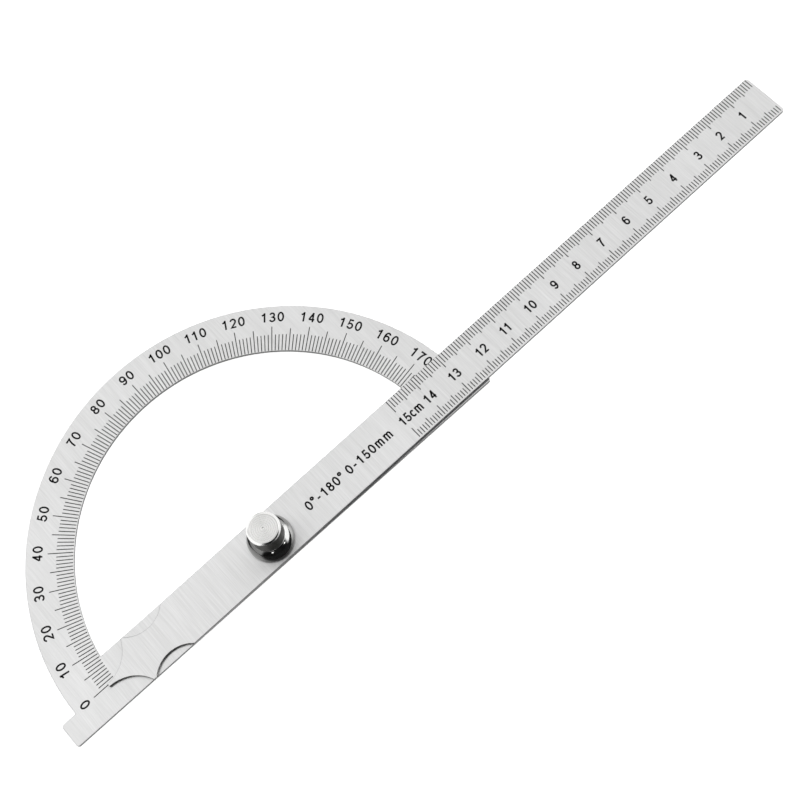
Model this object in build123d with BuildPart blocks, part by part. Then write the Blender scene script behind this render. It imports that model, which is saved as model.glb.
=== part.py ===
# Stainless protractor: a half-ring degree plate on a straight base bar, with a 150 mm rule arm that
# swings about a stud pressed into the plate and is clamped by a thumb nut.
#
# Millimetres. The origin is on the pivot axis, at the plate's back face. +X runs along the base bar
# towards the 180 degree end and the free end of the rule arm, +Y points to the 90 degree mark, and +Z
# points up through the thumb nut.
from build123d import *
import math
import os

# Both sheets are stamped from the same stock, with a small edge break all round. The arm rides on the
# plate with a hair's gap between them.
SHEET_THICKNESS = 1.0
SHEET_GAP = 0.03
EDGE_BREAK = 0.1

# Degree plate: a half ring standing on a base bar.
RING_OUTER_RADIUS = 73.5
RING_INNER_RADIUS = 58.8
BASE_HALF_LENGTH = 78.7
BASE_HALF_WIDTH = 8.0
BASE_CORNER_RADIUS = 0.8
WINDOW_CORNER_RADIUS = 0.5

# Rule arm: the free end is the zero of its centimetre scale.
RULE_LENGTH = 150.0
RULE_INNER_END = 51.7
ARM_REACH = RULE_INNER_END + RULE_LENGTH
ARM_HALF_WIDTH = 7.9
ARM_REST_ANGLE = 0.45
ARM_END_CORNER_RADIUS = 1.0

# Pointer tail of the arm: a blunt tip that widens in two hollow curves to the full width.
TAIL_TIP_REACH = 61.4
TAIL_TIP_HALF_WIDTH = 0.5
TAIL_HOLLOW_MIDDLE = (-54.5, 2.85)
TAIL_SHOULDER_REACH = 50.7
TAIL_CORNER_RADIUS = 0.2

# Finger scallops on both edges, next to the tail.
SCALLOP_CENTRE_REACH = 42.8
SCALLOP_CHORD = 14.2
SCALLOP_DEPTH = 3.0
SCALLOP_CORNER_RADIUS = 0.4

# Pivot stud: a flush head in the back of the plate, a shoulder that the arm turns on, and an M5 thread.
STUD_HEAD_RADIUS = 4.5
STUD_HEAD_HEIGHT = 0.6
STUD_SHOULDER_RADIUS = 3.0
STUD_SHOULDER_DROP = 0.05
STUD_THREAD_RADIUS = 2.42
STUD_TIP_CHAMFER = 0.5
PIVOT_CLEARANCE = 0.05

# Thread travel: the nut climbs one pitch a turn and leaves the stud after the last turn.
THREAD_PITCH = 0.8
NUT_TURNS = 8
LAST_TURN_ENGAGEMENT = 1.8

# Friction washer between the arm and the nut.
WASHER_INNER_RADIUS = 2.7
WASHER_OUTER_RADIUS = 4.5
WASHER_THICKNESS = 0.5

# Thumb nut: a round-shouldered flange under a slimmer knurled head. A shallow bevel rings the flat top.
NUT_RECESS_RADIUS = 4.8
NUT_RECESS_DEPTH = 0.4
NUT_BORE_RADIUS = 2.5
NUT_BORE_ROOF = 1.85
FLANGE_RADIUS = 7.0
FLANGE_UNDERCUT = 0.4
FLANGE_BAND_HEIGHT = 0.75
SHOULDER_TOP_RADIUS = 5.1
SHOULDER_TOP_HEIGHT = 4.3
HEAD_RADIUS = 5.05
RIM_WIDTH = 0.6
RIM_DROP = 0.2
NUT_HEIGHT = 10.75

# Levels that follow from the sizes above.
ARM_BOTTOM = SHEET_THICKNESS + SHEET_GAP
ARM_TOP = ARM_BOTTOM + SHEET_THICKNESS
WASHER_TOP = ARM_TOP + WASHER_THICKNESS
NUT_BOTTOM = WASHER_TOP - NUT_RECESS_DEPTH
NUT_TOP = NUT_BOTTOM + NUT_HEIGHT
STUD_TOP = NUT_BOTTOM + NUT_TURNS * THREAD_PITCH + LAST_TURN_ENGAGEMENT

ARM_PLANE = Plane.XY.offset(ARM_BOTTOM).rotated((0, 0, ARM_REST_ANGLE))
BACK_PLANE = Plane(origin=(0, 0, 0), x_dir=(1, 0, 0), z_dir=(0, 0, -1))

# Margin that a selection band reaches past the corners it picks out.
BAND_MARGIN = 0.1

os.makedirs("parts", exist_ok=True)


def save(piece, label):
    """Label a finished piece and write it under that name."""
    piece.part.label = label
    export_step(piece.part, f"parts/{label}.step")


# Degree plate. Its base bar reaches past the ring on both sides as a short tab.
window_half_chord = math.sqrt(RING_INNER_RADIUS**2 - BASE_HALF_WIDTH**2)
window_left = (-window_half_chord, BASE_HALF_WIDTH)
window_right = (window_half_chord, BASE_HALF_WIDTH)

with BuildPart() as protractor_plate:
    with BuildSketch(Plane.XY):
        Circle(RING_OUTER_RADIUS)
        Rectangle(
            2 * RING_OUTER_RADIUS,
            RING_OUTER_RADIUS,
            align=(Align.CENTER, Align.MAX),
            mode=Mode.SUBTRACT,
        )
        Rectangle(2 * BASE_HALF_LENGTH, BASE_HALF_WIDTH, align=(Align.CENTER, Align.MAX))
        with BuildLine():
            ThreePointArc(window_left, (0, RING_INNER_RADIUS), window_right)
            Line(window_right, window_left)
        make_face(mode=Mode.SUBTRACT)
    extrude(amount=SHEET_THICKNESS)
    upright_edges = protractor_plate.edges().filter_by(Axis.Z)
    tab_start = RING_OUTER_RADIUS + BAND_MARGIN
    tab_corners = upright_edges.filter_by(lambda edge: abs(edge.center().X) > tab_start)
    window_corners = upright_edges.filter_by(lambda edge: abs(edge.center().X) < RING_INNER_RADIUS)
    fillet(tab_corners, BASE_CORNER_RADIUS)
    fillet(window_corners, WINDOW_CORNER_RADIUS)
    levels = protractor_plate.edges().group_by(Axis.Z)
    chamfer(levels[0] + levels[-1], EDGE_BREAK)
    with Locations(BACK_PLANE):
        CounterBoreHole(
            radius=STUD_SHOULDER_RADIUS,
            counter_bore_radius=STUD_HEAD_RADIUS,
            counter_bore_depth=STUD_HEAD_HEIGHT,
        )
save(protractor_plate, "protractor_plate")


# Rule arm, drawn with its length along X and laid on the plate at its rest angle.
scallop_start = -SCALLOP_CENTRE_REACH - SCALLOP_CHORD / 2
scallop_end = -SCALLOP_CENTRE_REACH + SCALLOP_CHORD / 2

with BuildPart() as ruler_arm:
    with BuildSketch(ARM_PLANE) as arm_outline:
        with BuildLine():
            Line((-TAIL_TIP_REACH, 0), (-TAIL_TIP_REACH, TAIL_TIP_HALF_WIDTH))
            ThreePointArc(
                (-TAIL_TIP_REACH, TAIL_TIP_HALF_WIDTH),
                TAIL_HOLLOW_MIDDLE,
                (-TAIL_SHOULDER_REACH, ARM_HALF_WIDTH),
            )
            Line((-TAIL_SHOULDER_REACH, ARM_HALF_WIDTH), (scallop_start, ARM_HALF_WIDTH))
            ThreePointArc(
                (scallop_start, ARM_HALF_WIDTH),
                (-SCALLOP_CENTRE_REACH, ARM_HALF_WIDTH - SCALLOP_DEPTH),
                (scallop_end, ARM_HALF_WIDTH),
            )
            Polyline((scallop_end, ARM_HALF_WIDTH), (ARM_REACH, ARM_HALF_WIDTH), (ARM_REACH, 0))
            mirror(about=Plane.XZ)
        make_face()
        corners = arm_outline.vertices()
        end_band = (ARM_REACH - BAND_MARGIN, ARM_REACH + BAND_MARGIN)
        scallop_band = (scallop_start - BAND_MARGIN, scallop_end + BAND_MARGIN)
        tail_band = (-TAIL_TIP_REACH - BAND_MARGIN, -TAIL_SHOULDER_REACH + BAND_MARGIN)
        fillet(corners.filter_by_position(Axis.X, *end_band), ARM_END_CORNER_RADIUS)
        fillet(corners.filter_by_position(Axis.X, *scallop_band), SCALLOP_CORNER_RADIUS)
        fillet(corners.filter_by_position(Axis.X, *tail_band), TAIL_CORNER_RADIUS)
    extrude(amount=SHEET_THICKNESS)
    levels = ruler_arm.edges().group_by(Axis.Z)
    chamfer(levels[0] + levels[-1], EDGE_BREAK)
    with Locations(ARM_PLANE):
        Hole(STUD_SHOULDER_RADIUS + PIVOT_CLEARANCE)
save(ruler_arm, "ruler_arm")


# Pivot stud, from its flush head up through the arm to the tip of its thread.
shoulder_top = ARM_TOP - STUD_SHOULDER_DROP

with BuildPart() as pivot_stud:
    with BuildSketch(Plane.XY):
        Circle(STUD_HEAD_RADIUS)
    extrude(amount=STUD_HEAD_HEIGHT)
    with BuildSketch(Plane.XY.offset(STUD_HEAD_HEIGHT)):
        Circle(STUD_SHOULDER_RADIUS)
    extrude(amount=shoulder_top - STUD_HEAD_HEIGHT)
    with BuildSketch(Plane.XY.offset(shoulder_top)):
        Circle(STUD_THREAD_RADIUS)
    extrude(amount=STUD_TOP - shoulder_top)
    chamfer(pivot_stud.faces().sort_by(Axis.Z)[-1].edges(), STUD_TIP_CHAMFER)
save(pivot_stud, "pivot_stud")


# Friction washer, lying on the arm and held in the recess under the nut.
with BuildPart() as friction_washer:
    with BuildSketch(Plane.XY.offset(ARM_TOP)):
        Circle(WASHER_OUTER_RADIUS)
        Circle(WASHER_INNER_RADIUS, mode=Mode.SUBTRACT)
    extrude(amount=WASHER_THICKNESS)
save(friction_washer, "friction_washer")


# Thumb nut: one turned profile, with a recess for the washer and a blind threaded bore from below.
band_top = NUT_BOTTOM + FLANGE_BAND_HEIGHT
shoulder_level = NUT_BOTTOM + SHOULDER_TOP_HEIGHT

with BuildPart() as thumb_nut:
    with BuildSketch(Plane.XZ):
        with BuildLine():
            Polyline(
                (0, NUT_TOP),
                (0, NUT_BOTTOM),
                (FLANGE_RADIUS - FLANGE_UNDERCUT, NUT_BOTTOM),
                (FLANGE_RADIUS, NUT_BOTTOM + FLANGE_UNDERCUT),
                (FLANGE_RADIUS, band_top),
            )
            TangentArc((FLANGE_RADIUS, band_top), (SHOULDER_TOP_RADIUS, shoulder_level), tangent=(0, 1))
            Polyline(
                (SHOULDER_TOP_RADIUS, shoulder_level),
                (HEAD_RADIUS, shoulder_level),
                (HEAD_RADIUS, NUT_TOP - RIM_DROP),
                (HEAD_RADIUS - RIM_WIDTH, NUT_TOP),
                (0, NUT_TOP),
            )
        make_face()
    revolve(axis=Axis.Z)
    with BuildSketch(Plane.XY.offset(NUT_BOTTOM)):
        Circle(NUT_RECESS_RADIUS)
    extrude(amount=NUT_RECESS_DEPTH, mode=Mode.SUBTRACT)
    with BuildSketch(Plane.XY.offset(NUT_BOTTOM)):
        Circle(NUT_BORE_RADIUS)
    extrude(amount=NUT_HEIGHT - NUT_BORE_ROOF, mode=Mode.SUBTRACT)
save(thumb_nut, "thumb_nut")
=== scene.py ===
import math

import bmesh
import bpy
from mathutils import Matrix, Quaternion, Vector


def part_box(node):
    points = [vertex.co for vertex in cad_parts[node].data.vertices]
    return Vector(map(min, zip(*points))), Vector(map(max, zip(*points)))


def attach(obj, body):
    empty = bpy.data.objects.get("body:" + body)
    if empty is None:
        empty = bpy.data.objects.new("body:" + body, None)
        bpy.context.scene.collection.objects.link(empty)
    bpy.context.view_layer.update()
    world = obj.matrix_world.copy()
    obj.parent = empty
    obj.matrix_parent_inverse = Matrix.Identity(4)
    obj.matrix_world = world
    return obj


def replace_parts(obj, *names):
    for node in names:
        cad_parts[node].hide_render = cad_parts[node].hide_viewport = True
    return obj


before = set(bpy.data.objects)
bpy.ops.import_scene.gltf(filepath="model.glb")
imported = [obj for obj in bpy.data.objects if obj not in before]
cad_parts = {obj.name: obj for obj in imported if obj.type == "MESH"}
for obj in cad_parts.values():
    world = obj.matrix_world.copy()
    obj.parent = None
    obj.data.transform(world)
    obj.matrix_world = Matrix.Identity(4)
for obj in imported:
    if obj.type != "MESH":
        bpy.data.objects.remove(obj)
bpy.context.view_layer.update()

# Everything below is in millimetres and degrees until a mesh is made.
MM = 0.001

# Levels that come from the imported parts.
PLATE_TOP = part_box("protractor_plate")[1].z / MM
ARM_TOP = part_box("ruler_arm")[1].z / MM
WASHER_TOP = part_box("friction_washer")[1].z / MM
STUD_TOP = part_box("pivot_stud")[1].z / MM
NUT_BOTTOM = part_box("thumb_nut")[0].z / MM
NUT_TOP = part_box("thumb_nut")[1].z / MM
FLANGE_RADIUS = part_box("thumb_nut")[1].x / MM

# The arm lies turned by this much from the base bar, and its free end is the rule's zero.
ARM_REST_ANGLE = 0.45
RULE_ZERO = 201.7
RULE_LENGTH = 150
ARM_HALF_WIDTH = 7.9

# Etched black marks stand this proud of the steel.
INK_HEIGHT = 0.012

# Degree scale on the half ring.
TICK_INNER_RADIUS = 59.0
DEGREE_TICK_ENDS = {10: 66.8, 5: 66.05, 1: 64.15}
DEGREE_TICK_WIDTH = 0.26
DEGREE_NUMERAL_RADIUS = 69.9
DEGREE_NUMERAL_HEIGHT = 3.08
DEGREE_NUMERAL_SHIFT = 0.15

# Millimetre scales along both edges of the rule, as the height where each kind of tick ends.
UPPER_TICK_MARGIN = 0.12
UPPER_TICK_START = ARM_HALF_WIDTH - UPPER_TICK_MARGIN
UPPER_TICK_ENDS = {10: 3.35, 5: 3.9, 1: 4.6}
LOWER_TICK_START = -7.3
LOWER_TICK_ENDS = {10: -3.65, 5: -4.25, 1: -5.05}
RULE_TICK_WIDTH = 0.27
RULE_NUMERAL_HEIGHT = 2.95
RULE_NUMERAL_LEVEL = -0.2
UNIT_LABEL_CENTRE = 54.5
RANGE_LABELS = {"0o-180o": 20.6, "0-150mm": 37.9}
STROKE_WIDTH = 0.53

# How each line of figures is set: its width against the plain figure, and the gap between figures as a
# share of their height.
DEGREE_SETTING = (1.06, 0.314)
RULE_SETTING = (0.97, 0.222)
UNIT_SETTING = (0.95, 0.20)
RANGE_SETTING = (1.0, 0.30)

# The centimetre numerals 1 to 14 were stamped unevenly: how far each sits past its tick, towards the
# free end.
RULE_NUMERAL_SHIFTS = (-0.3, 0.15, 0.8, 0.1, -0.2, 0.4, 0.1, -0.25, 0.75, 0.8, 0.7, 1.1, 0.15, 0.3)


# ---------------------------------------------------------------- mesh helpers


def ribbon(bm, line, width, low, high, closed=False):
    """Add a flat solid strip of the given width along a line of (x, y) points."""
    count = len(line)
    points = [Vector(p) for p in line]
    rails = []
    for i, point in enumerate(points):
        before = points[i - 1] if closed or i else point
        after = points[(i + 1) % count] if closed or i < count - 1 else point
        arriving = (point - before).normalized() if before is not point else (after - point).normalized()
        leaving = (after - point).normalized() if after is not point else arriving
        bisector = (arriving + leaving).normalized()
        side = Vector((-bisector.y, bisector.x))
        reach = width / 2 / max(side.dot(Vector((-leaving.y, leaving.x))), 0.5)
        rails.append((point + side * reach, point - side * reach))
    rows = [
        [bm.verts.new((p.x * MM, p.y * MM, z * MM)) for p, z in ((a, high), (b, high), (b, low), (a, low))]
        for a, b in rails
    ]
    spans = count if closed else count - 1
    for i in range(spans):
        here, there = rows[i], rows[(i + 1) % count]
        for k in range(4):
            bm.faces.new((here[k], here[(k + 1) % 4], there[(k + 1) % 4], there[k]))
    if not closed:
        bm.faces.new(rows[0][::-1])
        bm.faces.new(rows[-1])


def add_piece(name, bm, body, materials, sharp_angle=None):
    """Turn a bmesh into a piece that rides on a body."""
    bmesh.ops.recalc_face_normals(bm, faces=bm.faces)
    mesh = bpy.data.meshes.new(name)
    bm.to_mesh(mesh)
    bm.free()
    for material in materials:
        mesh.materials.append(material)
    if sharp_angle is not None:
        mesh.shade_smooth()
        mesh.set_sharp_from_angle(angle=math.radians(sharp_angle))
    piece = bpy.data.objects.new(name, mesh)
    bpy.context.scene.collection.objects.link(piece)
    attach(piece, body)
    return piece


def lathe(bm, rows, segments, radius_at=None, material_at=None):
    """Add a solid of revolution about Z. Rows are (radius, height) from the first pole to the last."""
    previous = None
    for index, (radius, height) in enumerate(rows):
        if radius == 0:
            ring = [bm.verts.new((0, 0, height * MM))] * segments
        else:
            ring = []
            for s in range(segments):
                turn = 2 * math.pi * s / segments
                r = radius_at(radius, height, turn) if radius_at else radius
                ring.append(bm.verts.new((r * math.cos(turn) * MM, r * math.sin(turn) * MM, height * MM)))
        if previous:
            for s in range(segments):
                t = (s + 1) % segments
                corners = list(dict.fromkeys((previous[s], previous[t], ring[t], ring[s])))
                face = bm.faces.new(corners)
                if material_at:
                    face.material_index = material_at(rows[index - 1], rows[index])
        previous = ring


# ---------------------------------------------------------------- numerals


def arc(cx, cy, rx, ry, start, end, steps=16):
    """Points along an ellipse from start to end, in degrees."""
    turns = [math.radians(start + (end - start) * i / steps) for i in range(steps + 1)]
    return [(cx + rx * math.cos(t), cy + ry * math.sin(t)) for t in turns]


def loop(cx, cy, rx, ry, steps=28):
    """Points once round an ellipse, without repeating the first."""
    return arc(cx, cy, rx, ry, 0, 360, steps)[:-1]


# How much closer two ones stand, as a share of the height.
ONES_KERN = 0.06

SIX_BOWL = loop(0.245, 0.325, 0.225, 0.26)
SIX_BACK = arc(0.265, 0.50, 0.245, 0.435, 40, 186)

TWO = arc(0.25, 0.69, 0.225, 0.245, 172, -32) + [(0.31, 0.37), (0.06, 0.065), (0.50, 0.065)]
THREE = arc(0.24, 0.72, 0.19, 0.215, 165, -90) + arc(0.24, 0.285, 0.235, 0.22, 90, -166)[1:]
FOUR = [[(0.38, 0.0), (0.38, 1.0)], [(0.39, 0.95), (0.035, 0.29)], [(0.0, 0.275), (0.53, 0.275)]]
FIVE = [(0.46, 0.935), (0.135, 0.935), (0.07, 0.49)] + arc(0.245, 0.325, 0.235, 0.26, 128, -165)

# Each figure is drawn by a pen of constant width in a cell one unit high: (cell width, open lines, loops).
FIGURES = {
    "0": (0.50, [], [loop(0.25, 0.50, 0.235, 0.435)]),
    "1": (0.50, [[(0.31, 0.0), (0.31, 1.0)], [(0.31, 0.92), (0.22, 0.80), (0.05, 0.715)]], []),
    "2": (0.50, [TWO], []),
    "3": (0.50, [THREE], []),
    "4": (0.52, FOUR, []),
    "5": (0.50, [FIVE], []),
    "6": (0.50, [SIX_BACK], [SIX_BOWL]),
    "7": (0.50, [[(0.01, 0.935), (0.475, 0.935), (0.34, 0.71), (0.24, 0.40), (0.185, 0.0)]], []),
    "8": (0.50, [], [loop(0.25, 0.73, 0.185, 0.205), loop(0.25, 0.295, 0.225, 0.23)]),
    "9": (0.50, [[(0.5 - x, 1 - y) for x, y in SIX_BACK]], [[(0.5 - x, 1 - y) for x, y in SIX_BOWL]]),
    "c": (0.46, [arc(0.25, 0.39, 0.21, 0.32, 42, 318)], []),
    "m": (
        0.80,
        [
            [(0.065, 0.0), (0.065, 0.77)],
            [(0.065, 0.50)] + arc(0.23, 0.51, 0.165, 0.20, 175, 0, 8) + [(0.395, 0.0)],
            [(0.395, 0.50)] + arc(0.56, 0.51, 0.165, 0.20, 175, 0, 8) + [(0.725, 0.0)],
        ],
        [],
    ),
    "-": (0.34, [[(0.0, 0.42), (0.34, 0.42)]], []),
    "o": (0.26, [], [loop(0.13, 0.85, 0.13, 0.13, 16)]),
}


def write_figures(bm, text, height, setting, place, level):
    """Write a line of figures centred on its place, as raised ink on the steel."""
    squeeze, gap = setting
    cells = [FIGURES[character][0] * squeeze for character in text]
    gaps = [gap - (ONES_KERN if pair == ("1", "1") else 0) for pair in zip(text, text[1:])] + [0]
    pen = -(sum(cells) + sum(gaps)) / 2
    for character, cell, gap_after in zip(text, cells, gaps):
        _, lines, loops = FIGURES[character]
        strokes = [(line, False) for line in lines] + [(line, True) for line in loops]
        for stroke, closed in strokes:
            placed = [place((pen + x * squeeze) * height, (y - 0.5) * height) for x, y in stroke]
            ribbon(bm, placed, STROKE_WIDTH, level, level + INK_HEIGHT, closed)
        pen += cell + gap_after


def tick_kind(step):
    """Which kind of tick a step of the scale gets."""
    return 10 if step % 10 == 0 else 5 if step % 5 == 0 else 1


def ring_point(radius, degrees):
    """A point on the half ring, at a reading of the degree scale."""
    turn = math.radians(180 - degrees)
    return Vector((radius * math.cos(turn), radius * math.sin(turn)))


def on_ring(degrees):
    """Places figures on the ring at a reading, with their tops outwards."""
    centre = ring_point(DEGREE_NUMERAL_RADIUS, degrees)
    outwards = centre.normalized()
    rightwards = Vector((outwards.y, -outwards.x))
    return lambda along, up: centre + rightwards * (DEGREE_NUMERAL_SHIFT + along) + outwards * up


def on_arm(x, y=0.0):
    """Places figures or ticks on the arm, measured along it from the pivot."""
    turn = math.radians(ARM_REST_ANGLE)
    along_arm = Vector((math.cos(turn), math.sin(turn)))
    across_arm = Vector((-along_arm.y, along_arm.x))
    return lambda along, up: along_arm * (x + along) + across_arm * (y + up)


# ---------------------------------------------------------------- materials


class Shader:
    """A material under construction: makes nodes, and joins them by socket."""

    def __init__(self, name, **constants):
        self.material = bpy.data.materials.new(name)
        self.material.use_nodes = True
        self.tree = self.material.node_tree
        self.surface = self.tree.nodes["Principled BSDF"]
        for socket, value in constants.items():
            self.surface.inputs[socket.replace("_", " ")].default_value = value
        self.place = self.node("ShaderNodeTexCoord")

    def node(self, kind, **settings):
        made = self.tree.nodes.new(kind)
        for key, value in settings.items():
            setattr(made, key, value)
        return made

    def join(self, source, target):
        self.tree.links.new(source, target)

    def stretched(self, scale, turn=0.0):
        """Object coordinates in metres, turned, and multiplied by a scale in each direction."""
        mapping = self.node("ShaderNodeMapping")
        mapping.inputs["Scale"].default_value = scale
        mapping.inputs["Rotation"].default_value = (0, 0, math.radians(turn))
        self.join(self.place.outputs["Object"], mapping.inputs["Vector"])
        return mapping.outputs["Vector"]

    def noise(self, vector, detail=2.0, roughness=0.5, distortion=0.0):
        """Grey noise over some coordinates."""
        texture = self.node("ShaderNodeTexNoise")
        texture.inputs["Scale"].default_value = 1.0
        texture.inputs["Detail"].default_value = detail
        texture.inputs["Roughness"].default_value = roughness
        texture.inputs["Distortion"].default_value = distortion
        self.join(vector, texture.inputs["Vector"])
        return texture.outputs["Fac"]

    def span(self, value, low, high, to_low, to_high):
        """Rescale a value from one range to another, clamped."""
        mapped = self.node("ShaderNodeMapRange")
        numbers = {"From Min": low, "From Max": high, "To Min": to_low, "To Max": to_high}
        for socket, number in numbers.items():
            mapped.inputs[socket].default_value = number
        self.join(value, mapped.inputs["Value"])
        return mapped.outputs["Result"]

    def math(self, operation, first, second):
        """A maths node on two values, each a socket or a number."""
        made = self.node("ShaderNodeMath", operation=operation)
        for socket, value in zip(made.inputs, (first, second)):
            if isinstance(value, (int, float)):
                socket.default_value = value
            else:
                self.join(value, socket)
        return made.outputs[0]

    def weighted(self, first, share, second):
        """Add two values, the first by its share and the second by the rest."""
        first_share = self.math("MULTIPLY", first, share)
        second_share = self.math("MULTIPLY", second, 1 - share)
        return self.math("ADD", first_share, second_share)

    def blend(self, factor, first, second):
        """Mix two colours, each a socket or a tuple, by a factor."""
        made = self.node("ShaderNodeMix", data_type="RGBA")
        self.join(factor, made.inputs["Factor"])
        for socket, value in ((made.inputs[6], first), (made.inputs[7], second)):
            if isinstance(value, tuple):
                socket.default_value = (*value, 1.0)
            else:
                self.join(value, socket)
        return made.outputs[2]

    def bump(self, height, distance):
        """Raise the surface by a height pattern, by up to a distance in metres."""
        made = self.node("ShaderNodeBump")
        made.inputs["Distance"].default_value = distance
        made.inputs["Strength"].default_value = 1.0
        self.join(height, made.inputs["Height"])
        self.join(made.outputs["Normal"], self.surface.inputs["Normal"])

    def set(self, socket, value):
        """Feed a value to one of the surface's sockets."""
        self.join(value, self.surface.inputs[socket])


# Depths of the finishes, in metres: brushing and plating, the nut's tool marks, and the nylon's mottle.
FINE_BUMP = 0.000002
TOOL_MARK_BUMP = 0.000005
NYLON_BUMP = 0.00001


def brushed_sheet(name, turn, tone):
    """Stainless sheet brushed across its length, with near-black sheared edges: a sheared finish, darkened
    further as painted shade.
    """
    shader = Shader(name, Metallic=1.0, Anisotropic=0.8)
    across = shader.node(
        "ShaderNodeVectorTransform",
        vector_type="VECTOR",
        convert_from="OBJECT",
        convert_to="WORLD",
    )
    across.inputs[0].default_value = (math.cos(math.radians(turn)), -math.sin(math.radians(turn)), 0)
    shader.join(across.outputs[0], shader.surface.inputs["Tangent"])

    hairlines = shader.noise(shader.stretched((4200, 90, 900), turn), detail=3.0, roughness=0.6)
    streaks = shader.noise(shader.stretched((900, 30, 620), turn), detail=3.0, roughness=0.6)
    clouds = shader.noise(shader.stretched((34, 26, 28), turn), detail=2.0)
    facing = shader.node("ShaderNodeSeparateXYZ")
    shader.join(shader.place.outputs["Normal"], facing.inputs[0])
    flatness = shader.math("ABSOLUTE", facing.outputs["Z"], 0)
    on_face = shader.span(flatness, 0.45, 0.95, 0.0, 1.0)

    light = (tone * 1.06, tone * 1.06, tone * 1.06)
    dark = (tone * 0.93, tone * 0.93, tone * 0.925)
    pattern = shader.weighted(streaks, 0.6, clouds)
    face = shader.blend(shader.span(pattern, 0.30, 0.70, 0.0, 1.0), dark, light)
    fine = shader.span(hairlines, 0.25, 0.75, 0.90, 1.08)
    lined = shader.node("ShaderNodeMix", data_type="RGBA", blend_type="MULTIPLY")
    lined.inputs["Factor"].default_value = 1.0
    shader.join(face, lined.inputs[6])
    shader.join(fine, lined.inputs[7])
    # The side walls: a sheared finish with striations, its near-black colour partly painted shade along
    # the sheet edges.
    sheared = shader.noise(shader.stretched((2600, 2600, 300), turn), detail=2.0)
    edge = shader.blend(shader.span(sheared, 0.3, 0.7, 0.0, 1.0), (0.09, 0.09, 0.09), (0.16, 0.16, 0.157))
    shader.set("Base Color", shader.blend(on_face, edge, lined.outputs[2]))

    grain = shader.weighted(hairlines, 0.7, streaks)
    satin = shader.span(grain, 0.3, 0.7, 0.29, 0.36)
    matte = shader.node("ShaderNodeMix", data_type="FLOAT")
    shader.join(on_face, matte.inputs["Factor"])
    matte.inputs[2].default_value = 0.4
    shader.join(satin, matte.inputs[3])
    shader.set("Roughness", matte.outputs[0])
    shader.bump(grain, FINE_BUMP)
    return shader.material


def etched_ink():
    """Black filled etching, slightly uneven in gloss and density."""
    shader = Shader("etched_ink", Specular_IOR_Level=0.12)
    speckle = shader.noise(shader.stretched((3500, 3500, 3500)), detail=3.0, roughness=0.6)
    shader.set("Base Color", shader.blend(speckle, (0.004, 0.004, 0.005), (0.014, 0.014, 0.015)))
    shader.set("Roughness", shader.span(speckle, 0.3, 0.7, 0.5, 0.75))
    return shader.material


def radial_distance(shader):
    """Distance from the pivot axis in millimetres, and the height in metres."""
    axes = shader.node("ShaderNodeSeparateXYZ")
    shader.join(shader.place.outputs["Object"], axes.inputs[0])
    squares = [shader.math("MULTIPLY", axes.outputs[a], axes.outputs[a]) for a in ("X", "Y")]
    distance = shader.math("SQRT", shader.math("ADD", *squares), 0)
    return shader.math("DIVIDE", distance, MM), axes.outputs["Z"]


TOOL_MARK_SPACING = 0.62


def turned_face():
    """The nut's faced-off top: fine concentric tool marks."""
    shader = Shader("turned_face", Metallic=1.0, Anisotropic=0.7, Anisotropic_Rotation=0.25)
    radius, _ = radial_distance(shader)
    wander = shader.noise(shader.stretched((420, 420, 420)), detail=2.0)
    phase = shader.math("ADD", radius, shader.math("MULTIPLY", wander, 0.12))
    grooves = shader.math("SINE", shader.math("MULTIPLY", phase, 2 * math.pi / TOOL_MARK_SPACING), 0)
    spacing = shader.node("ShaderNodeCombineXYZ")
    shader.join(shader.math("MULTIPLY", radius, 3.1), spacing.inputs["X"])
    uneven = shader.noise(spacing.outputs[0], detail=3.0, roughness=0.7)
    marks = shader.math("ADD", shader.math("MULTIPLY", grooves, 0.25), uneven)
    shade = shader.span(marks, 0.2, 0.85, 0.0, 1.0)
    shader.set("Base Color", shader.blend(shade, (0.72, 0.715, 0.70), (0.86, 0.86, 0.85)))
    shader.set("Roughness", shader.span(marks, 0.2, 0.8, 0.22, 0.34))
    shader.bump(marks, TOOL_MARK_BUMP)
    return shader.material


# Heights above the nut's underside between which painted shade on the flange's plating fades, from darkest
# at the foot to none above.
FOOT_PAINTED_SHADE_LEVELS = (0.7, 2.2)


def polished_plate(name, tone, gloss, foot_shade_tone=None):
    """Bright plating with faint handling smears. With a foot shade tone, painted shade darkens it towards
    the foot.
    """
    shader = Shader(name, Metallic=1.0)
    smears = shader.noise(shader.stretched((260, 260, 420)), detail=4.0, roughness=0.6, distortion=0.6)
    dull = (tone * 0.93, tone * 0.93, tone * 0.915)
    plating = shader.blend(smears, dull, (tone, tone, tone * 0.99))
    # Painted shade: the plating turns darker towards the foot, down where the flange meets the arm.
    if foot_shade_tone is not None:
        _, height = radial_distance(shader)
        shade_darkest_below, shade_gone_above = [(NUT_BOTTOM + level) * MM for level in FOOT_PAINTED_SHADE_LEVELS]
        unshaded = shader.span(height, shade_darkest_below, shade_gone_above, 0.0, 1.0)
        plating = shader.blend(unshaded, (foot_shade_tone, foot_shade_tone, foot_shade_tone), plating)
    shader.set("Base Color", plating)
    shader.set("Roughness", shader.span(smears, 0.3, 0.75, gloss, gloss + 0.1))
    shader.bump(shader.noise(shader.stretched((1500, 1500, 1500)), detail=2.0), FINE_BUMP)
    return shader.material


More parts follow.
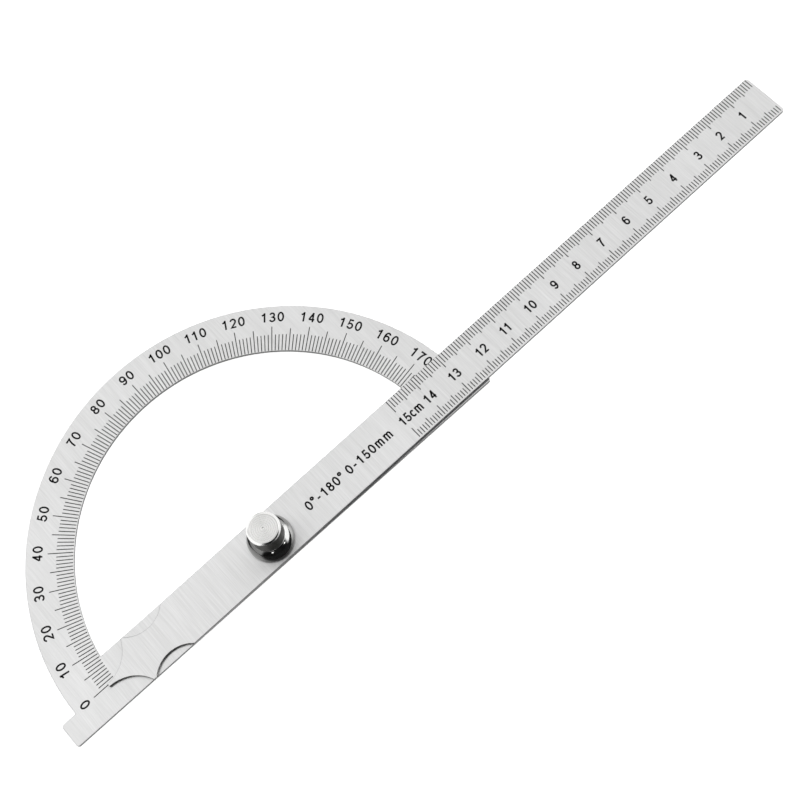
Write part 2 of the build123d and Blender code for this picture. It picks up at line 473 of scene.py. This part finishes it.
def knurled_plate(groove_radius, crest_radius):
    """Plating on the knurl: lighter on the crests and darker down in the grooves, by depth."""
    shader = Shader("knurled_plating", Metallic=1.0)
    radius, _ = radial_distance(shader)
    # A noise that shifts the depth at which the colour turns from the dark grooves to the light crests.
    groove_wander = shader.noise(shader.stretched((900, 900, 900)), detail=3.0, roughness=0.65)
    height = shader.math("ADD", radius, shader.math("MULTIPLY", shader.math("SUBTRACT", groove_wander, 0.5), 0.12))
    crest = shader.span(height, groove_radius, crest_radius, 0.0, 1.0)
    shader.set("Base Color", shader.blend(crest, (0.10, 0.10, 0.095), (0.50, 0.50, 0.49)))
    shader.set("Roughness", shader.span(crest, 0.0, 1.0, 0.5, 0.24))
    return shader.material


def turned_steel():
    """The stud: machined stainless with fine marks round it."""
    shader = Shader("turned_steel", Metallic=1.0)
    marks = shader.noise(shader.stretched((300, 300, 9000)), detail=2.0)
    shader.set("Base Color", shader.blend(marks, (0.50, 0.50, 0.49), (0.68, 0.68, 0.67)))
    shader.set("Roughness", shader.span(marks, 0.3, 0.7, 0.24, 0.4))
    shader.bump(marks, FINE_BUMP)
    return shader.material


def nylon():
    """The washer: off-white nylon, faintly mottled."""
    shader = Shader("washer_nylon", Subsurface_Weight=0.15, Subsurface_Scale=0.001)
    mottle = shader.noise(shader.stretched((700, 700, 700)), detail=3.0)
    shader.set("Base Color", shader.blend(mottle, (0.74, 0.72, 0.66), (0.84, 0.83, 0.78)))
    shader.set("Roughness", shader.span(mottle, 0.3, 0.7, 0.42, 0.6))
    shader.bump(mottle, NYLON_BUMP)
    return shader.material


INK = etched_ink()


# ---------------------------------------------------------------- the two sheets


SHEET_TONE = 0.80


def dress_cad_node(node, material):
    """Give a CAD part its finished material."""
    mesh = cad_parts[node].data
    mesh.materials.clear()
    mesh.materials.append(material)
    mesh.set_sharp_from_angle(angle=math.radians(25))


dress_cad_node("protractor_plate", brushed_sheet("plate_brushed_steel", 0.0, SHEET_TONE))
dress_cad_node("ruler_arm", brushed_sheet("arm_brushed_steel", -ARM_REST_ANGLE, SHEET_TONE))
dress_cad_node("friction_washer", nylon())


# ---------------------------------------------------------------- degree scale on the plate


def make_degree_ticks():
    """One tick a degree, longer at every fifth and longest at every tenth."""
    bm = bmesh.new()
    for degrees in range(181):
        tick_end = DEGREE_TICK_ENDS[tick_kind(degrees)]
        line = [ring_point(TICK_INNER_RADIUS, degrees), ring_point(tick_end, degrees)]
        ribbon(bm, line, DEGREE_TICK_WIDTH, PLATE_TOP, PLATE_TOP + INK_HEIGHT)
    return add_piece("degree_ticks", bm, "protractor", [INK])


def make_degree_numerals():
    """The readings at every tenth degree."""
    bm = bmesh.new()
    for degrees in range(0, 181, 10):
        write_figures(bm, str(degrees), DEGREE_NUMERAL_HEIGHT, DEGREE_SETTING, on_ring(degrees), PLATE_TOP)
    return add_piece("degree_numerals", bm, "protractor", [INK])


make_degree_ticks()
make_degree_numerals()


# ---------------------------------------------------------------- rule on the arm


def make_rule_ticks():
    """Millimetre ticks along both edges of the rule."""
    bm = bmesh.new()
    edges = ((UPPER_TICK_START, UPPER_TICK_ENDS), (LOWER_TICK_START, LOWER_TICK_ENDS))
    for step in range(1, RULE_LENGTH + 1):
        place = on_arm(RULE_ZERO - step)
        for start, ends in edges:
            line = [place(0, start), place(0, ends[tick_kind(step)])]
            ribbon(bm, line, RULE_TICK_WIDTH, ARM_TOP, ARM_TOP + INK_HEIGHT)
    return add_piece("rule_ticks", bm, "arm", [INK])


def make_rule_numerals():
    """The centimetres, the unit mark beside the last one, and the range mark."""
    bm = bmesh.new()
    for centimetre, shift in enumerate(RULE_NUMERAL_SHIFTS, start=1):
        place = on_arm(RULE_ZERO - 10 * centimetre + shift, RULE_NUMERAL_LEVEL)
        write_figures(bm, str(centimetre), RULE_NUMERAL_HEIGHT, RULE_SETTING, place, ARM_TOP)
    unit_place = on_arm(UNIT_LABEL_CENTRE, RULE_NUMERAL_LEVEL)
    write_figures(bm, "15cm", RULE_NUMERAL_HEIGHT, UNIT_SETTING, unit_place, ARM_TOP)
    for label, centre in RANGE_LABELS.items():
        place = on_arm(centre, RULE_NUMERAL_LEVEL)
        write_figures(bm, label, RULE_NUMERAL_HEIGHT, RANGE_SETTING, place, ARM_TOP)
    return add_piece("rule_numerals", bm, "arm", [INK])


make_rule_ticks()
make_rule_numerals()


# ---------------------------------------------------------------- thumb nut

# Inside: the recess over the washer, and the blind bore with its countersink.
RECESS_RADIUS = 4.8
RECESS_LIFT = 0.02
BORE_RADIUS = 2.5
BORE_ROOF = NUT_TOP - 1.85
BORE_COUNTERSINK = 0.3
BORE_COUNTERSINK_TOP = 0.4

# Flange: its rounded foot, the top of its band, and the top of its shoulder.
FOOT_RADIUS = 0.7
FOOT_STEPS = 8
BAND_TOP = NUT_BOTTOM + 0.75
SHOULDER_TOP_RADIUS = 5.1
SHOULDER_TOP = NUT_BOTTOM + 4.3
SHOULDER_STEPS = 18

# Head: the diamond knurl, with a plain neck below it and a plain edge above.
HEAD_RADIUS = 5.05
KNURL_DEPTH = 0.2
KNURL_FOOT_GAP = 0.15
KNURL_TOP_GAP = 0.03
KNURL_COUNT = 44
KNURL_PITCH = 2 * math.pi * HEAD_RADIUS / KNURL_COUNT
KNURL_STEPS = 6
NUT_SEGMENTS = KNURL_COUNT * KNURL_STEPS

# Top: the bevelled rim, the step up from it, the flat face, and the turning centre's mark.
RIM_WIDTH = 0.58
RIM_DROP = 0.22
RIM_STEP = 0.1
RIM_ROUND = 0.1
FACE_RINGS = (3.6, 2.4, 1.2)
CENTRE_MARK_RADIUS = 0.36
CENTRE_MARK_DEPTH = 0.16


def flange_profile():
    """The flange's side: a rounded foot, a short band, and one arc that rises tangent from it."""
    rise = SHOULDER_TOP - BAND_TOP
    run = FLANGE_RADIUS - SHOULDER_TOP_RADIUS
    bend = (rise**2 + run**2) / (2 * run)
    sweep = math.asin(rise / bend)
    turns = [sweep * i / SHOULDER_STEPS for i in range(SHOULDER_STEPS + 1)]
    shoulder = [(FLANGE_RADIUS - bend * (1 - math.cos(t)), BAND_TOP + bend * math.sin(t)) for t in turns]
    under = [math.pi / 2 * i / FOOT_STEPS for i in range(FOOT_STEPS + 1)]
    foot = [
        (FLANGE_RADIUS - FOOT_RADIUS * (1 - math.sin(t)), NUT_BOTTOM + FOOT_RADIUS * (1 - math.cos(t)))
        for t in under
    ]
    return foot + shoulder


def knurl_profile():
    """Heights up the knurled head, closely spaced."""
    bottom = SHOULDER_TOP + KNURL_FOOT_GAP
    top = NUT_TOP - RIM_DROP - KNURL_TOP_GAP
    count = round((top - bottom) / KNURL_PITCH * KNURL_STEPS)
    return [(HEAD_RADIUS, bottom + (top - bottom) * i / count) for i in range(count + 1)]


def triangle_wave(x):
    """Falls to 0 at each whole number and peaks at 1 half way."""
    return 1 - abs(2 * (x % 1.0) - 1)


def knurled_radius(radius, height, turn):
    """Cut a diamond knurl into the head by two crossing sets of grooves."""
    if radius != HEAD_RADIUS:
        return radius
    around = turn * KNURL_COUNT / (2 * math.pi)
    up = (height - SHOULDER_TOP) / KNURL_PITCH
    pyramid = min(triangle_wave(around + up), triangle_wave(around - up))
    return HEAD_RADIUS - KNURL_DEPTH * (1 - pyramid)


def nut_face_material(lower, upper):
    """0 is the polished flange, 1 the knurl, 2 the turned top and 3 the rim, made bright as a painted
    highlight.
    """
    if upper[0] == HEAD_RADIUS:
        return 1
    if lower[1] > NUT_TOP - RIM_DROP - RIM_ROUND:
        return 2 if lower[1] > NUT_TOP - RIM_STEP / 2 else 3
    return 0


def nut_inside():
    """The blind bore with its countersink, and the recess for the washer."""
    recess_roof = WASHER_TOP + RECESS_LIFT
    return [
        (0, BORE_ROOF),
        (BORE_RADIUS, BORE_ROOF),
        (BORE_RADIUS, WASHER_TOP + BORE_COUNTERSINK_TOP),
        (BORE_RADIUS + BORE_COUNTERSINK, recess_roof),
        (RECESS_RADIUS, recess_roof),
        (RECESS_RADIUS, NUT_BOTTOM),
    ]


def nut_crown():
    """The bevelled rim, a small step up to the flat top, and the turning centre in the middle."""
    face_edge = HEAD_RADIUS - RIM_WIDTH - RIM_STEP
    rim = [
        (HEAD_RADIUS - 0.02, NUT_TOP - RIM_DROP),
        (HEAD_RADIUS - RIM_ROUND, NUT_TOP - RIM_DROP + 0.03),
        (HEAD_RADIUS - RIM_WIDTH, NUT_TOP - RIM_STEP),
        (face_edge, NUT_TOP - 0.01),
        (face_edge - 0.05, NUT_TOP),
    ]
    face = [(radius, NUT_TOP) for radius in FACE_RINGS]
    centre_mark = [
        (CENTRE_MARK_RADIUS, NUT_TOP),
        (0.22, NUT_TOP - 0.10),
        (0, NUT_TOP - CENTRE_MARK_DEPTH),
    ]
    return rim + face + centre_mark


def make_thumb_nut():
    """The nut in one lathe profile, from the bore's roof round to the middle of the top."""
    bm = bmesh.new()
    rows = nut_inside() + flange_profile() + knurl_profile() + nut_crown()
    lathe(bm, rows, NUT_SEGMENTS, knurled_radius, nut_face_material)
    finishes = [
        # Painted shade: the flange's plating is set dark, at 0.38, far darker than the same plating on the
        # rim and top.
        polished_plate("flange_plating_painted_shade", 0.38, 0.07, foot_shade_tone=0.12),
        knurled_plate(HEAD_RADIUS - KNURL_DEPTH, HEAD_RADIUS),
        turned_face(),
        # Painted highlight: the rim's plating is set almost white, at 0.97, far brighter than the same
        # plating on the flange.
        polished_plate("rim_plating_painted_highlight", 0.97, 0.13),
    ]
    piece = add_piece("thumb_nut_knurled", bm, "nut", finishes, sharp_angle=32)
    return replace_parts(piece, "thumb_nut")


make_thumb_nut()


# ---------------------------------------------------------------- pivot stud

STUD_HEAD_RADIUS = 4.5
STUD_HEAD_TOP = 0.6
STUD_SHOULDER_RADIUS = 3.0
STUD_SHOULDER_TOP = ARM_TOP - 0.05
THREAD_PITCH = 0.8
THREAD_CREST = 2.42
THREAD_DEPTH = 0.43
THREAD_FLANK_GAIN = 1.35
THREAD_STEPS = 10
THREAD_RELIEF = 0.25
STUD_TIP_LENGTH = 0.5
HEAD_EDGE_BREAK = 0.08
EDGE_BREAK = 0.1
STUD_SEGMENTS = 72


def thread_radius(radius, height, turn):
    """Cut a right-hand V thread below the crest radius."""
    if radius != THREAD_CREST:
        return radius
    phase = height / THREAD_PITCH - turn / (2 * math.pi)
    ridge = min(1.0, THREAD_FLANK_GAIN * triangle_wave(phase))
    return THREAD_CREST - THREAD_DEPTH * (1 - ridge)


def make_pivot_stud():
    """The stud from its flush head up to the tip of its thread."""
    thread_bottom = STUD_SHOULDER_TOP + THREAD_RELIEF
    thread_top = STUD_TOP - STUD_TIP_LENGTH
    count = round((thread_top - thread_bottom) / THREAD_PITCH * THREAD_STEPS)
    root = THREAD_CREST - THREAD_DEPTH
    rows = [
        (0, 0),
        (STUD_HEAD_RADIUS - HEAD_EDGE_BREAK, 0),
        (STUD_HEAD_RADIUS, HEAD_EDGE_BREAK),
        (STUD_HEAD_RADIUS, STUD_HEAD_TOP),
        (STUD_SHOULDER_RADIUS, STUD_HEAD_TOP),
        (STUD_SHOULDER_RADIUS, STUD_SHOULDER_TOP - EDGE_BREAK),
        (STUD_SHOULDER_RADIUS - EDGE_BREAK, STUD_SHOULDER_TOP),
        (root, STUD_SHOULDER_TOP),
    ]
    for i in range(count + 1):
        rows.append((THREAD_CREST, thread_bottom + (thread_top - thread_bottom) * i / count))
    rows += [(root, thread_top + 0.05), (root - EDGE_BREAK, STUD_TOP), (0, STUD_TOP)]
    bm = bmesh.new()
    lathe(bm, rows, STUD_SEGMENTS, thread_radius)
    finishes = [turned_steel()]
    piece = add_piece("pivot_stud_threaded", bm, "protractor", finishes, sharp_angle=35)
    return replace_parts(piece, "pivot_stud")


make_pivot_stud()


# ---------------------------------------------------------------- stage, light and camera

FLOOR_HALF_SIZE = 2500
FLOOR_DROP = 0.02
FLOOR_TONE = 0.93
FLOOR_GLOW = 0.75

# What polished metal mirrors of the floor turns from pale to dark between these distances, in millimetres.
PALE_REACH = 2.4
DARK_REACH = 3.6
MIRRORED_TONE = 0.02
MIRRORED_GLOW = 0.01


def make_floor():
    """A plain pale table top, which is dark only in what polished metal mirrors from further off."""
    bm = bmesh.new()
    corners = [(-1, -1), (1, -1), (1, 1), (-1, 1)]
    reach = FLOOR_HALF_SIZE * MM
    bm.faces.new([bm.verts.new((x * reach, y * reach, -FLOOR_DROP * MM)) for x, y in corners])
    mesh = bpy.data.meshes.new("floor")
    bm.to_mesh(mesh)
    bm.free()
    shader = Shader("floor_white", Roughness=0.9, Specular_IOR_Level=0.0, Emission_Color=(1, 1, 1, 1))
    paths = shader.node("ShaderNodeLightPath")
    far_off = shader.span(paths.outputs["Ray Length"], PALE_REACH * MM, DARK_REACH * MM, 0.0, 1.0)
    unlit = shader.math("MULTIPLY", paths.outputs["Is Glossy Ray"], far_off)
    shader.set("Base Color", shader.blend(unlit, (FLOOR_TONE,) * 3, (MIRRORED_TONE,) * 3))
    shader.set("Emission Strength", shader.span(unlit, 0.0, 1.0, FLOOR_GLOW, MIRRORED_GLOW))
    mesh.materials.append(shader.material)
    floor = bpy.data.objects.new("floor", mesh)
    bpy.context.scene.collection.objects.link(floor)


# Things in the room, each by its direction, the cosines off that direction between which it fades in,
# and its brightness: a dark head overhead, a softbox low on the right, and two small lamps in front.
DARK_HEAD = (-0.2, -0.25, 0.947)
HEAD_EDGE = (0.945, 0.97)
HEAD_TONE = 0.03
SIDE_SOFTBOX = (0.93, -0.30, 0.20)
SOFTBOX_EDGE = (0.84, 0.93)
SOFTBOX_STRENGTH = 1.6
SMALL_LAMPS = ((0.458, -0.76, 0.461), (-0.493, -0.731, 0.472))
LAMP_EDGE = (0.9975, 0.9995)
LAMP_STRENGTH = 6.0

# The white tent is brighter on its left side than on its right, and dimmest in a soft valley between them.
# All places in the tent are components of the unit direction to them.
TENT_RAMP = (-0.12, 0.16)
TENT_LEFT = 1.09
TENT_RIGHT = 0.97
VALLEY_CENTRE = 0.2
VALLEY_REACH = 0.22
VALLEY_TONE = 0.72

# Its dark opening in front ends in these stretches of y and x.
OPENING_Y = (-0.36, -0.18)
OPENING_X = (0.5, 0.68)
OPENING_TONE = 0.02

# Its dimmer skirt, low on the left, ends in these stretches of x and z.
SKIRT_X = (-0.6, -0.35)
SKIRT_Z = (0.45, 0.6)
SKIRT_TONE = 0.5


def make_room():
    """A white tent, open in front, as brightness by direction in the world's own axes."""
    world = bpy.data.worlds.new("room")
    bpy.context.scene.world = world
    world.use_nodes = True
    tree = world.node_tree
    background = tree.nodes["Background"]
    background.inputs["Color"].default_value = (1, 1, 1, 1)

    def node(kind, **settings):
        made = tree.nodes.new(kind)
        for key, value in settings.items():
            setattr(made, key, value)
        return made

    def join(value, socket):
        if isinstance(value, (int, float)):
            socket.default_value = value
        else:
            tree.links.new(value, socket)

    def maths(operation, first, second=0.0):
        made = node("ShaderNodeMath", operation=operation)
        join(first, made.inputs[0])
        join(second, made.inputs[1])
        return made.outputs[0]

    def step(value, low, high, to_low=0.0, to_high=1.0):
        made = node("ShaderNodeMapRange", interpolation_type="SMOOTHSTEP")
        for socket, number in zip(made.inputs, (value, low, high, to_low, to_high)):
            join(number, socket)
        return made.outputs[0]

    def nearness(direction):
        """How closely the view looks along a direction, as a cosine."""
        made = node("ShaderNodeVectorMath", operation="DOT_PRODUCT")
        tree.links.new(place.outputs["Generated"], made.inputs[0])
        made.inputs[1].default_value = Vector(direction).normalized()
        return made.outputs["Value"]

    place = node("ShaderNodeTexCoord")
    axes = node("ShaderNodeSeparateXYZ")
    tree.links.new(place.outputs["Generated"], axes.inputs[0])
    x, y, z = axes.outputs

    tent = step(x, *TENT_RAMP, TENT_LEFT, TENT_RIGHT)
    off_valley = maths("ABSOLUTE", maths("SUBTRACT", x, VALLEY_CENTRE))
    tent = maths("MULTIPLY", tent, step(off_valley, 0.0, VALLEY_REACH, VALLEY_TONE, 1.0))
    opening = maths("MULTIPLY", step(y, *OPENING_Y, 1.0, 0.0), step(x, *OPENING_X, 1.0, 0.0))
    skirt = maths("MULTIPLY", step(x, *SKIRT_X, 1.0, 0.0), step(z, *SKIRT_Z, 1.0, 0.0))
    light = maths("MULTIPLY", tent, step(nearness(DARK_HEAD), *HEAD_EDGE, 1.0, HEAD_TONE))
    light = maths("MULTIPLY", light, step(opening, 0.0, 1.0, 1.0, OPENING_TONE))
    light = maths("MULTIPLY", light, step(skirt, 0.0, 1.0, 1.0, SKIRT_TONE))
    light = maths("ADD", light, step(nearness(SIDE_SOFTBOX), *SOFTBOX_EDGE, 0.0, SOFTBOX_STRENGTH))
    for lamp in SMALL_LAMPS:
        light = maths("ADD", light, step(nearness(lamp), *LAMP_EDGE, 0.0, LAMP_STRENGTH))
    # Seen directly, past the edge of the table, the room is plain white.
    seen = node("ShaderNodeLightPath").outputs["Is Camera Ray"]
    reflected = maths("MULTIPLY", light, maths("SUBTRACT", 1.0, seen))
    join(maths("ADD", reflected, seen), background.inputs["Strength"])


CAMERA_PLACE = (-12.92, -161.56, 453.93)
CAMERA_TARGET = (55.23, 6.09, 1.0)
CAMERA_ROLL = -20.795
CAMERA_LENS = 74.62


def add_camera(place, target, roll, lens):
    """A camera that looks from its place to its target, rolled about its line of sight by some degrees."""
    camera = bpy.data.cameras.new("camera")
    camera.lens = lens
    camera.sensor_width = 36
    camera.clip_start = 0.01
    camera.clip_end = 20
    holder = bpy.data.objects.new("camera", camera)
    holder.location = Vector(place) * MM
    holder.rotation_mode = "QUATERNION"
    aim = (Vector(target) - Vector(place)).to_track_quat("-Z", "Y")
    holder.rotation_quaternion = aim @ Quaternion((0, 0, 1), math.radians(roll))
    bpy.context.scene.collection.objects.link(holder)
    bpy.context.scene.camera = holder


make_floor()
make_room()
add_camera(CAMERA_PLACE, CAMERA_TARGET, CAMERA_ROLL, CAMERA_LENS)
bpy.context.scene.view_settings.view_transform = "Standard"
